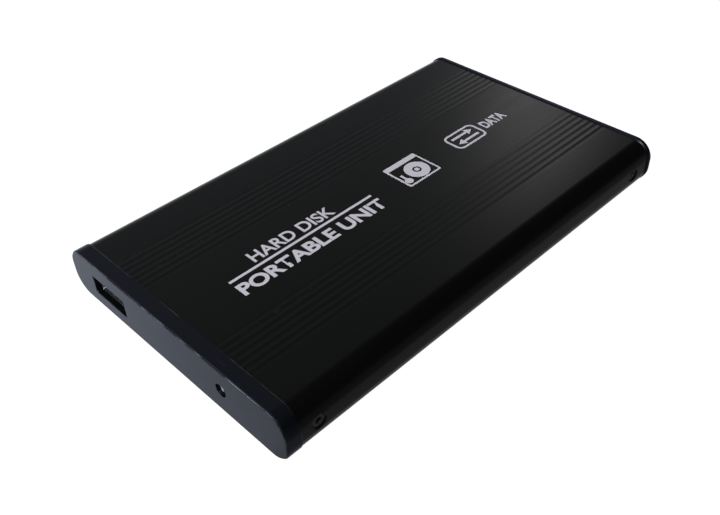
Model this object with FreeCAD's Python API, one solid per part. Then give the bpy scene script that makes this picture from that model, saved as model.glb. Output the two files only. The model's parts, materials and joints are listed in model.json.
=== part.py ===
import FreeCAD, Part
import math
import os

# External 2.5-inch hard disk drive in a slim aluminium case, in millimetres.
# Origin: middle of the underside. +X is right and -Y is towards the eye when the
# port face is looked at, +Z is up. The front cap, the bridge board and the drive
# slide out of the sleeve together, towards -Y.

Vector = FreeCAD.Vector
X_AXIS = Vector(1, 0, 0)
Y_AXIS = Vector(0, 1, 0)
Z_AXIS = Vector(0, 0, 1)
PAST = 1.0                      # how far a cutting tool runs past the face it cuts

# --- driving dimensions: the case -------------------------------------------------
LENGTH = 125.0
CAP_WIDTH = 74.6
CAP_HEIGHT = 12.4
CAP_RADIUS = 4.9
CAP_PROUD = 0.3                 # caps stand this far above and beside the sleeve
FRONT_COLLAR = 3.75
REAR_COLLAR = 1.7
SEAM = 0.05                     # gap between the sliding front cap and the sleeve

CAVITY_HALF = 35.15
CAVITY_LOW = 1.15
CAVITY_HIGH = 10.95
CAVITY_RADIUS = 1.4

GROOVES_PER_BAND = 7
GROOVE_FIRST = 12.3
GROOVE_PITCH = 1.83
GROOVE_CUTTER = 6.0
GROOVE_DEPTH = 0.055

SIDE_SCREW_FROM_FRONT = 8.4
SIDE_SCREW_FROM_REAR = 7.6
SIDE_SCREW_Z = 6.2

PORT_X = -22.3
PORT_Z = 5.9
PORT_SLOT = (12.4, 4.9)         # width and height of the opening in the front face
LIGHT_X = 17.7
LIGHT_Z = 6.5

LUG_INNER = 31.2
LUG_OUTER = 35.05
LUG_LOW = 2.3

# --- driving dimensions: the drive inside ------------------------------------------
DRIVE_HALF = 34.925
DRIVE_FRONT = -48.45
DRIVE_REAR = 51.9
COVER_LOW = 1.3
COVER_HIGH = 1.9
GASKET_HIGH = 2.2
FLOOR_LOW = 8.2                 # the casting's floor, between platters and board
FLOOR_HIGH = 9.1
DRIVE_TOP = 10.8
BOARD_TOP = 9.7

SPINDLE = (0.0, 16.9)
CHAMBER_RADIUS = 33.3
PLATTER_RADIUS = 32.5
PLATTER_BORE = 10.0
PLATTER_THICK = 0.8
LOWER_PLATTER = 3.75
UPPER_PLATTER = 6.25
CLAMP_RADIUS = 11.8

PIVOT = (12.0, -18.6)
PARK_ANGLE = 166.3
HEAD_RADIUS = 33.0
ARM_LEVELS = ((7.45, 8.0), (4.95, 5.85), (2.8, 3.35))
BLADE_LEVELS = (7.35, 5.85, 4.85, 3.35)
BLADE_THICK = 0.1
SLIDER_LEVELS = (7.1, 5.95, 4.6, 3.45)
SLIDER_THICK = 0.25
COIL_ANGLE = PARK_ANGLE - 180.0
COIL_LEVEL = (4.95, 5.85)
MAGNET_LEVELS = ((6.25, 7.15), (3.65, 4.55))
YOKE_LEVELS = ((7.15, 8.2), (2.65, 3.65))
LATCH_PIVOT = (26.0, -8.5)

# Lengthwise screw positions of the 2.5-inch format, in pairs 61.72 mm apart.
MOUNT_HALF = 30.86
MOUNT_ROWS = (-34.45, 42.15)
COVER_SCREWS = tuple((side * x, y) for side in (-1, 1)
                     for x, y in ((31.5, -44.5), (32.2, -1.2), (31.5, 48.5)))
BOARD_SCREW_SPOTS = ((-24.0, -37.0), (24.0, -37.0), (-24.0, 23.5), (24.0, 23.5))

# Edge connector of the drive: two tongues in one plane, data and power.
TONGUES = ((-5.7, 4.7), (7.1, 27.7))
TONGUE_LEVEL = (6.7, 7.9)
CONTACT_PITCH = 1.27
CONTACT_WIDTH = 0.8
CONTACT_COUNTS = (7, 15)

# --- derived sizes ------------------------------------------------------------------
FRONT = -LENGTH / 2
REAR = LENGTH / 2
CAP_HALF = CAP_WIDTH / 2
SLEEVE_HALF = CAP_HALF - CAP_PROUD
SLEEVE_HEIGHT = CAP_HEIGHT - CAP_PROUD
SLEEVE_RADIUS = CAP_RADIUS - CAP_PROUD
SLEEVE_FRONT = FRONT + FRONT_COLLAR + SEAM
SLEEVE_REAR = REAR - REAR_COLLAR
CAP_BACK = FRONT + FRONT_COLLAR
SIDE_SCREW_ROWS = (FRONT + SIDE_SCREW_FROM_FRONT, REAR - SIDE_SCREW_FROM_REAR)


# --- shape helpers ------------------------------------------------------------------
def box(x, y, z):
    """A block from three (low, high) pairs."""
    return Part.makeBox(x[1] - x[0], y[1] - y[0], z[1] - z[0], Vector(x[0], y[0], z[0]))


def drum(centre, radius, z):
    """An upright cylinder."""
    return Part.makeCylinder(radius, z[1] - z[0], Vector(centre[0], centre[1], z[0]))


def ring(centre, inner, outer, z):
    """An upright tube."""
    return drum(centre, outer, z).cut(drum(centre, inner, (z[0] - PAST, z[1] + PAST)))


def rod_along_x(y, z, radius, x):
    return Part.makeCylinder(radius, x[1] - x[0], Vector(x[0], y, z), X_AXIS)


def rod_along_y(x, z, radius, y):
    return Part.makeCylinder(radius, y[1] - y[0], Vector(x, y[0], z), Y_AXIS)


def edges_along(shape, axis):
    """The straight edges of a block that run along one axis."""
    found = []
    for edge in shape.Edges:
        run = edge.Vertexes[-1].Point - edge.Vertexes[0].Point
        if abs(abs(run.dot(axis)) - run.Length) < 1e-6:
            found.append(edge)
    return found


def rounded(block, radius, axis):
    """A block with the four edges along one axis rounded."""
    return block.makeFillet(radius, edges_along(block, axis))


def band_along_y(half_width, z, radius, y):
    """A rounded-rectangle bar that runs front to back."""
    return rounded(box((-half_width, half_width), y, z), radius, Y_AXIS)


def outer_loop(shape, y):
    """The edges of a bar's end face at depth y."""
    return [edge for edge in shape.Edges
            if all(abs(vertex.Point.y - y) < 1e-6 for vertex in edge.Vertexes)]


def pie(centre, radius, angles, z):
    """A slice of a disc between two angles, in degrees."""
    start = min(angles)
    base = Vector(centre[0], centre[1], z[0])
    slab = Part.makeCylinder(radius, z[1] - z[0], base, Z_AXIS, max(angles) - start)
    slab.rotate(base, Z_AXIS, start)
    return slab


def sector(centre, inner, outer, angles, z):
    """A slice of a flat ring between two angles, in degrees."""
    return pie(centre, outer, angles, z).cut(drum(centre, inner, (z[0] - PAST, z[1] + PAST)))


def prism(points, z):
    """An upright prism on a closed outline of (x, y) points."""
    corners = [Vector(x, y, z[0]) for x, y in points]
    outline = Part.makePolygon(corners + corners[:1])
    return Part.Face(outline).extrude(Vector(0, 0, z[1] - z[0]))


def from_pivot(radius, angle, offset=0.0):
    """A point at a distance along a direction from the actuator pivot, and beside it."""
    turn = math.radians(angle)
    x = PIVOT[0] + radius * math.cos(turn) - offset * math.sin(turn)
    y = PIVOT[1] + radius * math.sin(turn) + offset * math.cos(turn)
    return (x, y)


def fused(shapes):
    return shapes[0].multiFuse(shapes[1:]).removeSplitter()


def less(shape, tools):
    return shape.cut(Part.makeCompound(tools))


def both_sides(shape):
    """A shape and its mirror image on the other side of the middle plane."""
    return [shape, shape.mirror(Vector(0, 0, 0), X_AXIS)]


def save(shape, name):
    shape.exportStep("parts/" + name + ".step")


# --- the sleeve and what is fixed to it ----------------------------------------------
def groove_tools():
    """Cutters for the two bands of shallow lengthwise flutes, on top and underneath."""
    lift = GROOVE_CUTTER - GROOVE_DEPTH
    run = (SLEEVE_FRONT - PAST, SLEEVE_REAR + PAST)
    tools = []
    for index in range(GROOVES_PER_BAND):
        x = GROOVE_FIRST + index * GROOVE_PITCH
        for level in (SLEEVE_HEIGHT + lift, -lift):
            tools += both_sides(rod_along_y(x, level, GROOVE_CUTTER, run))
    return tools


def sleeve():
    """Extruded tube, rounded outside, with four countersunk screw holes."""
    run = (SLEEVE_FRONT, SLEEVE_REAR)
    hole_radius = 1.5
    sink_radius = 1.9
    sink_depth = sink_radius - hole_radius
    shell = band_along_y(SLEEVE_HALF, (0, SLEEVE_HEIGHT), SLEEVE_RADIUS, run)
    bore = band_along_y(CAVITY_HALF, (CAVITY_LOW, CAVITY_HIGH), CAVITY_RADIUS,
                        (SLEEVE_FRONT - PAST, SLEEVE_REAR + PAST))
    tools = [bore] + groove_tools()
    for y in SIDE_SCREW_ROWS:
        hole = rod_along_x(y, SIDE_SCREW_Z, hole_radius, (CAVITY_HALF - PAST, SLEEVE_HALF + PAST))
        sink = Part.makeCone(hole_radius, sink_radius, sink_depth,
                             Vector(SLEEVE_HALF - sink_depth, y, SIDE_SCREW_Z), X_AXIS)
        tools += both_sides(hole.fuse(sink))
    return less(shell, tools)


def side_screws():
    """Four set screws with hexagon sockets, in the sides of the sleeve."""
    radius = 1.48
    tip = CAVITY_HALF + 0.05
    face = SLEEVE_HALF - 0.35
    socket_reach = 0.87             # centre to corner of a 1.5 mm hexagon
    socket_depth = 1.0
    screws = []
    for y in SIDE_SCREW_ROWS:
        corners = []
        for step in range(6):
            turn = math.radians(60 * step)
            corners.append(Vector(face, y + socket_reach * math.cos(turn),
                                  SIDE_SCREW_Z + socket_reach * math.sin(turn)))
        socket = Part.Face(Part.makePolygon(corners + corners[:1])).extrude(Vector(-socket_depth, 0, 0))
        screw = rod_along_x(y, SIDE_SCREW_Z, radius, (tip, face)).cut(socket)
        screws += both_sides(screw)
    return Part.makeCompound(screws)


def lug_pair(y, z_high, screw_row):
    """Two blocks that reach into the sleeve, dimpled where the side screws press."""
    dimple_radius = 0.8
    dimple_depth = 0.4
    block = box((LUG_INNER, LUG_OUTER), y, (LUG_LOW, z_high))
    dimple = Part.makeCone(0.2, dimple_radius, dimple_depth + PAST,
                           Vector(LUG_OUTER - dimple_depth, screw_row, SIDE_SCREW_Z), X_AXIS)
    return both_sides(block.cut(dimple))


def rear_cap():
    """Closed end plate with a locating spigot and two lugs."""
    chamfer = 0.35
    seam_chamfer = 0.45
    spigot_half = 35.05
    spigot_level = (1.25, 10.85)
    spigot_wall = 1.2
    spigot_front = SLEEVE_REAR - 2.0
    plate = band_along_y(CAP_HALF, (0, CAP_HEIGHT), CAP_RADIUS, (SLEEVE_REAR, REAR))
    plate = plate.makeChamfer(chamfer, outer_loop(plate, REAR))
    plate = plate.makeChamfer(seam_chamfer, outer_loop(plate, SLEEVE_REAR))
    spigot = band_along_y(spigot_half, spigot_level, CAVITY_RADIUS, (spigot_front, SLEEVE_REAR))
    hollow = box((-spigot_half + spigot_wall, spigot_half - spigot_wall),
                 (spigot_front - PAST, SLEEVE_REAR),
                 (spigot_level[0] + spigot_wall, spigot_level[1] - spigot_wall))
    lugs = lug_pair((DRIVE_REAR + 0.3, SLEEVE_REAR), 9.8, SIDE_SCREW_ROWS[1])
    return fused([plate, spigot.cut(hollow)] + lugs)


def rear_foam_block():
    """Foam between the drive and the rear cap, stuck to the cap."""
    block = box((-15.0, 15.0), (DRIVE_REAR + 0.4, SLEEVE_REAR), (2.8, 9.3))
    return rounded(block, 0.8, Y_AXIS)


# --- the front cap and the bridge board ----------------------------------------------
BRIDGE_LOW = 8.75
BRIDGE_TOP = 9.75
BRIDGE_SCREW = (32.8, -54.5)
POCKET_FRONT = FRONT + 1.5


def front_cap():
    """Cap with the port slot, the light hole, a pocket behind them and two lugs."""
    chamfer = 0.35
    pocket_half = 35.0
    slot_width, slot_height = PORT_SLOT
    body = band_along_y(CAP_HALF, (0, CAP_HEIGHT), CAP_RADIUS, (FRONT, CAP_BACK))
    body = body.makeChamfer(chamfer, outer_loop(body, FRONT))
    pocket = band_along_y(pocket_half, (1.5, 10.9), 2.0, (POCKET_FRONT, CAP_BACK + PAST))
    slot = box((PORT_X - slot_width / 2, PORT_X + slot_width / 2),
               (FRONT - PAST, POCKET_FRONT + PAST),
               (PORT_Z - slot_height / 2, PORT_Z + slot_height / 2))
    slot = rounded(slot, 0.4, Y_AXIS)
    light = rod_along_y(LIGHT_X, LIGHT_Z, 1.6, (FRONT - PAST, POCKET_FRONT + PAST))
    shell = less(body, [pocket, slot, light])
    lugs = lug_pair((POCKET_FRONT, -50.6), BRIDGE_LOW, SIDE_SCREW_ROWS[0])
    thread = drum(BRIDGE_SCREW, 0.8, (4.4, BRIDGE_LOW + PAST))
    return less(fused([shell] + lugs), both_sides(thread))


def bridge_board():
    """Circuit board that carries the outside port and the drive socket."""
    board = box((-34.6, 34.6), (-60.4, -49.2), (BRIDGE_LOW, BRIDGE_TOP))
    holes = both_sides(drum(BRIDGE_SCREW, 0.9, (BRIDGE_LOW - PAST, BRIDGE_TOP + PAST)))
    return less(rounded(board, 1.2, Z_AXIS), holes)


def cross_head_screw(spot, head_radius, head, shank_radius, shank_end, recess_side):
    """A screw with a crossed recess; recess_side is +1 for a head that faces up."""
    outer = head[1] if recess_side > 0 else head[0]
    inner = head[0] if recess_side > 0 else head[1]
    recess_depth = 0.6 * (head[1] - head[0])
    recess_reach = 0.55 * head_radius
    recess_half = 0.12 * head_radius
    recess = sorted((outer + recess_side * PAST, outer - recess_side * recess_depth))
    shank = drum(spot, shank_radius, sorted((inner, shank_end)))
    screw = drum(spot, head_radius, head).fuse(shank)
    across = box((spot[0] - recess_reach, spot[0] + recess_reach),
                 (spot[1] - recess_half, spot[1] + recess_half), recess)
    along = box((spot[0] - recess_half, spot[0] + recess_half),
                (spot[1] - recess_reach, spot[1] + recess_reach), recess)
    return less(screw, [across.fuse(along)])


def board_screws():
    """Two screws that hold the bridge board on the front cap's lugs."""
    screw = cross_head_screw(BRIDGE_SCREW, 1.5, (BRIDGE_TOP, BRIDGE_TOP + 0.7), 0.78, 4.6, 1)
    return Part.makeCompound(both_sides(screw))


PORT_INSIDE = (12.5, 5.1)
PORT_WALL = 0.3
PORT_BACK = -49.9


def port_shell():
    """Drawn metal shell of the outside port, open to the front."""
    inner_x = (PORT_X - PORT_INSIDE[0] / 2, PORT_X + PORT_INSIDE[0] / 2)
    inner_z = (PORT_Z - PORT_INSIDE[1] / 2, PORT_Z + PORT_INSIDE[1] / 2)
    mouth = POCKET_FRONT + 0.05
    outer = box((inner_x[0] - PORT_WALL, inner_x[1] + PORT_WALL), (mouth, PORT_BACK + PORT_WALL),
                (inner_z[0] - PORT_WALL, inner_z[1] + PORT_WALL))
    inner = box(inner_x, (mouth - PAST, PORT_BACK), inner_z)
    return rounded(outer, 0.6, Y_AXIS).cut(rounded(inner, 0.3, Y_AXIS))


def port_tongue():
    """Plastic tongue of the port with its rear block."""
    tongue = box((PORT_X - 5.55, PORT_X + 5.55), (-58.3, -51.4), (6.3, 8.1))
    block = box((PORT_X - 6.2, PORT_X + 6.2), (-51.5, PORT_BACK), (3.7, 8.1))
    return fused([tongue, block])


def port_contacts():
    """Four spring contacts under the tongue."""
    contacts = []
    for offset in (-3.5, -1.0, 1.0, 3.5):
        x = PORT_X + offset
        contacts.append(box((x - 0.5, x + 0.5), (-57.6, -51.5), (6.05, 6.3)))
    return Part.makeCompound(contacts)


def contact_centres(which):
    """X positions of the contacts on the data (0) or power (1) tongue."""
    middle = sum(TONGUES[which]) / 2
    count = CONTACT_COUNTS[which]
    return [middle + (index - (count - 1) / 2) * CONTACT_PITCH for index in range(count)]


def contact_row(y, z):
    """Flat contacts for both tongues, all of one depth and level."""
    contacts = []
    for which in range(len(TONGUES)):
        for x in contact_centres(which):
            contacts.append(box((x - CONTACT_WIDTH / 2, x + CONTACT_WIDTH / 2), y, z))
    return contacts


SLOT_GAP = 0.12                 # room round a tongue inside the socket


def drive_socket():
    """Socket under the bridge board that takes the drive's edge connector."""
    body = box((-8.3, 30.3), (-54.0, -49.5), (5.2, BRIDGE_LOW))
    nose = box((-6.6, 28.6), (-49.6, -43.2), (5.85, BRIDGE_LOW))
    slots = []
    for low, high in TONGUES:
        slots.append(box((low - 0.2, high + 0.2), (-49.0, -43.2 + PAST),
                         (TONGUE_LEVEL[0] - SLOT_GAP, TONGUE_LEVEL[1] + SLOT_GAP)))
    return less(fused([body, nose]), slots)


def socket_contacts():
    """Contacts on the lower face of each slot, touching the drive's contacts."""
    return Part.makeCompound(contact_row((-49.0, -43.5), (TONGUE_LEVEL[0] - SLOT_GAP, TONGUE_LEVEL[0])))


def chip(x, y, z, dimple=0.35):
    """A flat chip package with a round mark in one corner."""
    body = rounded(box(x, y, z), 0.15, Z_AXIS)
    mark = drum((x[0] + 2.5 * dimple, y[0] + 2.5 * dimple), dimple, (z[1] - 0.1, z[1] + PAST))
    return body.cut(mark)


def bridge_chip():
    return chip((-2.5, 3.5), (-58.2, -52.2), (BRIDGE_TOP, BRIDGE_TOP + 0.85))


def bridge_crystal():
    return rounded(box((6.2, 9.4), (-56.6, -54.1), (BRIDGE_TOP, BRIDGE_TOP + 0.75)), 0.6, Z_AXIS)


def bridge_small_parts():
    """Capacitors and resistors in rows on the bridge board."""
    parts = []
    for index in range(6):
        x = -27.0 + 3.6 * index
        parts.append(box((x, x + 1.6), (-54.2, -53.4), (BRIDGE_TOP, BRIDGE_TOP + 0.6)))
    for index in range(5):
        x = 12.0 + 3.2 * index
        parts.append(box((x, x + 1.0), (-52.4, -51.8), (BRIDGE_TOP, BRIDGE_TOP + 0.45)))
    parts.append(rounded(box((-14.0, -9.0), (-59.4, -56.0), (BRIDGE_TOP, BRIDGE_TOP + 0.9)), 0.4, Z_AXIS))
    return Part.makeCompound(parts)


def activity_led():
    """Clear light with a domed tip in the front cap's hole."""
    lens_radius = 1.5
    dome_start = FRONT + 0.4 + lens_radius
    flange_front = -57.6
    flange_back = -57.0
    barrel = rod_along_y(LIGHT_X, LIGHT_Z, lens_radius, (dome_start, flange_front))
    dome = Part.makeSphere(lens_radius, Vector(LIGHT_X, dome_start, LIGHT_Z))
    flange = rod_along_y(LIGHT_X, LIGHT_Z, 1.9, (flange_front, flange_back))
    return fused([barrel, dome, flange])


def led_legs():
    """Two bent legs from the light up to the bridge board."""
    legs = []
    half = 0.22
    for side in (-1, 1):
        x = LIGHT_X + 0.9 * side
        reach = box((x - half, x + half), (-57.0, -55.8), (LIGHT_Z - half, LIGHT_Z + half))
        rise = box((x - half, x + half), (-56.25, -55.8), (LIGHT_Z, BRIDGE_LOW))
        legs.append(fused([reach, rise]))
    return Part.makeCompound(legs)


# --- the drive: casting, cover and board ----------------------------------------------
BAY_X = (-31.0, 33.0)
BAY_Y = (-39.2, -3.5)
BOARD_HALF = 26.8
BOARD_REAR = 27.0
PLUG_FRONT = -43.0
PLUG_BACK = -40.5
COLUMN_RADIUS = 3.0
LATCH_PIN_RADIUS = 0.55


def chamber(z):
    """Outline of the sealed space: the round platter well and the actuator bay."""
    bay = rounded(box(BAY_X, BAY_Y, z), 2.5, Z_AXIS)
    columns = both_sides(drum((MOUNT_HALF, MOUNT_ROWS[0]), COLUMN_RADIUS, (z[0] - PAST, z[1] + PAST)))
    return drum(SPINDLE, CHAMBER_RADIUS, z).fuse(less(bay, columns))


def drive_base():
    """Die-cast base: chamber below, board recess above, connector recess in front."""
    chamfer = 1.0
    casting = box((-DRIVE_HALF, DRIVE_HALF), (DRIVE_FRONT, DRIVE_REAR), (GASKET_HIGH, DRIVE_TOP))
    upper_edges = [edge for edge in edges_along(casting, Y_AXIS)
                   if edge.Vertexes[0].Point.z > FLOOR_HIGH]
    casting = casting.makeChamfer(chamfer, upper_edges)
    well = chamber((GASKET_HIGH - PAST, FLOOR_LOW))
    recess = box((-BOARD_HALF - 0.4, BOARD_HALF + 0.4), (PLUG_BACK, BOARD_REAR + 0.4),
                 (FLOOR_HIGH, DRIVE_TOP + PAST))
    connector_bay = box((-22.5, 32.5), (DRIVE_FRONT - PAST, PLUG_BACK), (4.2, DRIVE_TOP + PAST))
    tools = [well, rounded(recess, 1.5, Z_AXIS), connector_bay]
    tools.append(drum(SPINDLE, 3.4, (FLOOR_LOW - PAST, FLOOR_HIGH + PAST)))
    for y in MOUNT_ROWS:
        tools += both_sides(drum((MOUNT_HALF, y), 1.25, (5.5, DRIVE_TOP + PAST)))
        tools += both_sides(rod_along_x(y, 7.8, 1.25, (32.6, DRIVE_HALF + PAST)))
    for spot in COVER_SCREWS:
        tools.append(drum(spot, 0.7, (GASKET_HIGH - PAST, 3.9)))
    for spot in BOARD_SCREW_SPOTS:
        tools.append(drum(spot, 0.6, (FLOOR_LOW + 0.2, FLOOR_HIGH + PAST)))
    hollowed = less(casting, tools)
    latch_pin = drum(LATCH_PIVOT, LATCH_PIN_RADIUS, (4.2, FLOOR_LOW))
    latch_seat = drum(LATCH_PIVOT, 1.3, (6.35, FLOOR_LOW))
    return fused([hollowed, latch_pin, latch_seat])


def drive_cover():
    """Pressed cover over the chamber, with sunk screw seats and a ring bead."""
    plate = box((-33.75, 33.75), (DRIVE_FRONT + 0.4, DRIVE_REAR - 0.4), (COVER_LOW, COVER_HIGH))
    plate = rounded(plate, 2.5, Z_AXIS)
    tools = []
    for spot in COVER_SCREWS:
        tools.append(drum(spot, 1.35, (COVER_LOW - PAST, COVER_LOW + 0.4)))
        tools.append(drum(spot, 0.75, (COVER_LOW, COVER_HIGH + PAST)))
    tools.append(ring(SPINDLE, 27.5, 28.5, (COVER_HIGH - 0.2, COVER_HIGH + PAST)))
    tools.append(drum((-20.0, -30.0), 0.6, (COVER_LOW - PAST, COVER_HIGH + PAST)))
    return less(plate, tools)


def cover_gasket():
    """Seal between the cover and the casting, open over the chamber."""
    sheet = box((-34.3, 34.3), (DRIVE_FRONT + 0.9, DRIVE_REAR - 0.5), (COVER_HIGH, GASKET_HIGH))
    tools = [chamber((COVER_HIGH - PAST, GASKET_HIGH + PAST))]
    for spot in COVER_SCREWS:
        tools.append(drum(spot, 0.9, (COVER_HIGH - PAST, GASKET_HIGH + PAST)))
    return less(rounded(sheet, 2.5, Z_AXIS), tools)


def cover_screws():
    """Six screws with heads sunk in the cover."""
    screws = []
    for spot in COVER_SCREWS:
        screws.append(cross_head_screw(spot, 1.3, (COVER_LOW, COVER_LOW + 0.4), 0.68, 3.8, -1))
    return Part.makeCompound(screws)


def drive_label():
    """Blank label on the cover."""
    sheet = box((-25.0, 25.0), (-24.0, 46.0), (COVER_LOW - 0.08, COVER_LOW))
    return rounded(sheet, 1.5, Z_AXIS)


def drive_board():
    """The drive's own circuit board, in the casting's recess."""
    main = box((-BOARD_HALF, BOARD_HALF), (PLUG_BACK + 0.1, BOARD_REAR), (FLOOR_HIGH, BOARD_TOP))
    neck = box((-22.0, 22.0), (PLUG_FRONT, PLUG_BACK + 1.0), (FLOOR_HIGH, BOARD_TOP))
    tools = [drum(spot, 0.7, (FLOOR_HIGH - PAST, BOARD_TOP + PAST)) for spot in BOARD_SCREW_SPOTS]
    return less(fused([rounded(main, 1.3, Z_AXIS), neck]), tools)


def drive_board_screws():
    """Four screws that hold the drive's board."""
    screws = []
    for spot in BOARD_SCREW_SPOTS:
        screws.append(cross_head_screw(spot, 1.4, (BOARD_TOP, BOARD_TOP + 0.6), 0.58, FLOOR_LOW + 0.25, 1))
    return Part.makeCompound(screws)


def controller_chip():
    return chip((-6.0, 6.0), (-22.0, -10.0), (BOARD_TOP, BOARD_TOP + 0.9), 0.5)


def memory_chip():
    return chip((10.0, 16.0), (-24.0, -14.0), (BOARD_TOP, BOARD_TOP + 0.9))


def motor_driver_chip():
    return chip((-19.0, -11.0), (-6.0, 2.0), (BOARD_TOP, BOARD_TOP + 0.8), 0.4)


def drive_board_parts():
    """Small capacitors, resistors and a shock sensor on the drive's board."""
    parts = []
    for row in range(3):
        for index in range(6):
            x = -18.0 + 6.4 * index
            y = -33.5 + 3.0 * row
            parts.append(box((x, x + 1.6), (y, y + 0.8), (BOARD_TOP, BOARD_TOP + 0.6)))
    for index in range(5):
        y = 6.0 + 3.4 * index
        parts.append(box((-20.0, -17.4), (y, y + 1.6), (BOARD_TOP, BOARD_TOP + 0.9)))
        parts.append(box((17.5, 18.7), (y, y + 2.2), (BOARD_TOP, BOARD_TOP + 0.7)))
    return Part.makeCompound(parts)


PLUG_LOW = 5.4


def drive_plug():
    """The drive's edge connector: two tongues between guide posts on one block."""
    block = box((-8.5, 30.5), (PLUG_FRONT, PLUG_BACK), (PLUG_LOW, FLOOR_HIGH))
    tip = -48.2
    pieces = [block]
    for low, high in TONGUES:
        pieces.append(box((low, high), (tip, PLUG_FRONT + 0.1), TONGUE_LEVEL))
    for low, high in ((-8.3, -6.9), (28.9, 30.3)):
        pieces.append(box((low, high), (tip, PLUG_FRONT + 0.1), (6.2, 8.4)))
    return less(fused(pieces), contact_row((-47.9, PLUG_FRONT), (TONGUE_LEVEL[0] - PAST, TONGUE_LEVEL[0] + 0.15)))


def plug_contacts():
    """Contacts let into the lower face of each tongue."""
    return Part.makeCompound(contact_row((-47.9, PLUG_FRONT), (TONGUE_LEVEL[0], TONGUE_LEVEL[0] + 0.15)))


JUMPER_FRONT = -44.0


def jumper_block():
    return box((-22.0, -15.5), (JUMPER_FRONT, PLUG_BACK), (PLUG_LOW, FLOOR_HIGH))


def jumper_pins():
    """Four setting pins beside the connector."""
    half = 0.25
    pins = []
    for x in (-19.75, -17.75):
        for z in (6.25, 8.25):
            pins.append(box((x - half, x + half), (-48.2, JUMPER_FRONT), (z - half, z + half)))
    return Part.makeCompound(pins)


# --- the spindle motor and the platters -------------------------------------------------
SHAFT_RADIUS = 1.5
STATOR_TEETH = 9
STATOR_LEVEL = (5.3, 7.2)


def bearing_sleeve():
    """Sleeve bearing in the casting's floor, closed at the top."""
    tube = drum(SPINDLE, 3.4, (4.75, FLOOR_HIGH))
    return tube.cut(drum(SPINDLE, SHAFT_RADIUS + 0.05, (4.75 - PAST, 8.8)))


def around_spindle(shape, count):
    """Copies of a shape, evenly turned about the spindle."""
    copies = []
    for index in range(count):
        copy = shape.copy()
        copy.rotate(Vector(SPINDLE[0], SPINDLE[1], 0), Z_AXIS, 360.0 * index / count)
        copies.append(copy)
    return copies


def stator_tooth():
    return box((SPINDLE[0] + 4.6, SPINDLE[0] + 7.3), (SPINDLE[1] - 0.7, SPINDLE[1] + 0.7), STATOR_LEVEL)


def stator_core():
    """Laminated core: a ring with nine teeth that end in curved shoes."""
    shoe_half_angle = 15.0
    shoe = sector(SPINDLE, 7.2, 8.0, (-shoe_half_angle, shoe_half_angle), STATOR_LEVEL)
    teeth = around_spindle(stator_tooth().fuse(shoe), STATOR_TEETH)
    return fused([ring(SPINDLE, 3.4, 4.9, STATOR_LEVEL)] + teeth)


def stator_coils():
    """A winding round each tooth."""
    outer = box((SPINDLE[0] + 5.2, SPINDLE[0] + 7.1), (SPINDLE[1] - 1.25, SPINDLE[1] + 1.25), (4.9, 7.6))
    winding = rounded(outer, 0.5, X_AXIS).cut(stator_tooth())
    return Part.makeCompound(around_spindle(winding, STATOR_TEETH))


def spindle_hub():
    """Cup that carries the platters outside and the rotor magnet inside."""
    plate = ring(SPINDLE, SHAFT_RADIUS, 9.95, (LOWER_PLATTER, 4.45))
    wall = ring(SPINDLE, 9.2, 9.95, (LOWER_PLATTER, 7.75))
    flange = ring(SPINDLE, 9.2, CLAMP_RADIUS, (UPPER_PLATTER + PLATTER_THICK, 7.75))
    return fused([plate, wall, flange])


def spindle_shaft():
    shaft = drum(SPINDLE, SHAFT_RADIUS, (LOWER_PLATTER, 8.7))
    return shaft.cut(drum(SPINDLE, 0.95, (LOWER_PLATTER - PAST, 6.4)))


def rotor_magnet():
    return ring(SPINDLE, 8.3, 9.2, (4.8, 7.6))


def platter(level):
    return ring(SPINDLE, PLATTER_BORE, PLATTER_RADIUS, (level, level + PLATTER_THICK))


def platter_spacer():
    return ring(SPINDLE, PLATTER_BORE, CLAMP_RADIUS, (LOWER_PLATTER + PLATTER_THICK, UPPER_PLATTER))


def disk_clamp():
    """Clamp disc that holds the platter stack on the hub."""
    disc = ring(SPINDLE, 1.0, CLAMP_RADIUS, (3.05, LOWER_PLATTER))
    holes = around_spindle(drum((SPINDLE[0] + 7.0, SPINDLE[1]), 0.8, (3.05 - PAST, 3.55)), 6)
    return less(disc, holes)


def clamp_screw():
    return cross_head_screw(SPINDLE, 2.6, (2.6, 3.05), 0.93, 6.2, -1)


# --- the actuator -----------------------------------------------------------------------
HUB_RADIUS = 4.6
CARTRIDGE_RADIUS = 3.45
SHAFT_CLEARANCE = 0.05
PIVOT_SHAFT_RADIUS = 2.15
BLADE_START = 19.0
ARM_END = 24.0
TAB_END = 35.4


def arm(level):
    """One tapering arm with a lightening hole, in the parked position."""
    root = 2.6
    root_half = 3.7
    tip_half = 2.0
    points = [from_pivot(root, PARK_ANGLE, -root_half), from_pivot(ARM_END, PARK_ANGLE, -tip_half),
              from_pivot(ARM_END, PARK_ANGLE, tip_half), from_pivot(root, PARK_ANGLE, root_half)]
    through = (level[0] - PAST, level[1] + PAST)
    holes = [drum(from_pivot(9.5, PARK_ANGLE), 1.7, through), drum(from_pivot(14.5, PARK_ANGLE), 1.3, through)]
    return less(prism(points, level), holes)


def head_arms():
    """The arm block: three arms on one hub."""
    tall = (2.75, 8.05)
    hub = drum(PIVOT, HUB_RADIUS, tall)
    block = fused([hub] + [arm(level) for level in ARM_LEVELS])
    return block.cut(drum(PIVOT, CARTRIDGE_RADIUS, (tall[0] - PAST, tall[1] + PAST)))


def pivot_cartridge():
    return ring(PIVOT, PIVOT_SHAFT_RADIUS + SHAFT_CLEARANCE, CARTRIDGE_RADIUS, (2.6, 8.1))


def pivot_shaft():
    return drum(PIVOT, PIVOT_SHAFT_RADIUS, (2.3, FLOOR_LOW))


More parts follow.
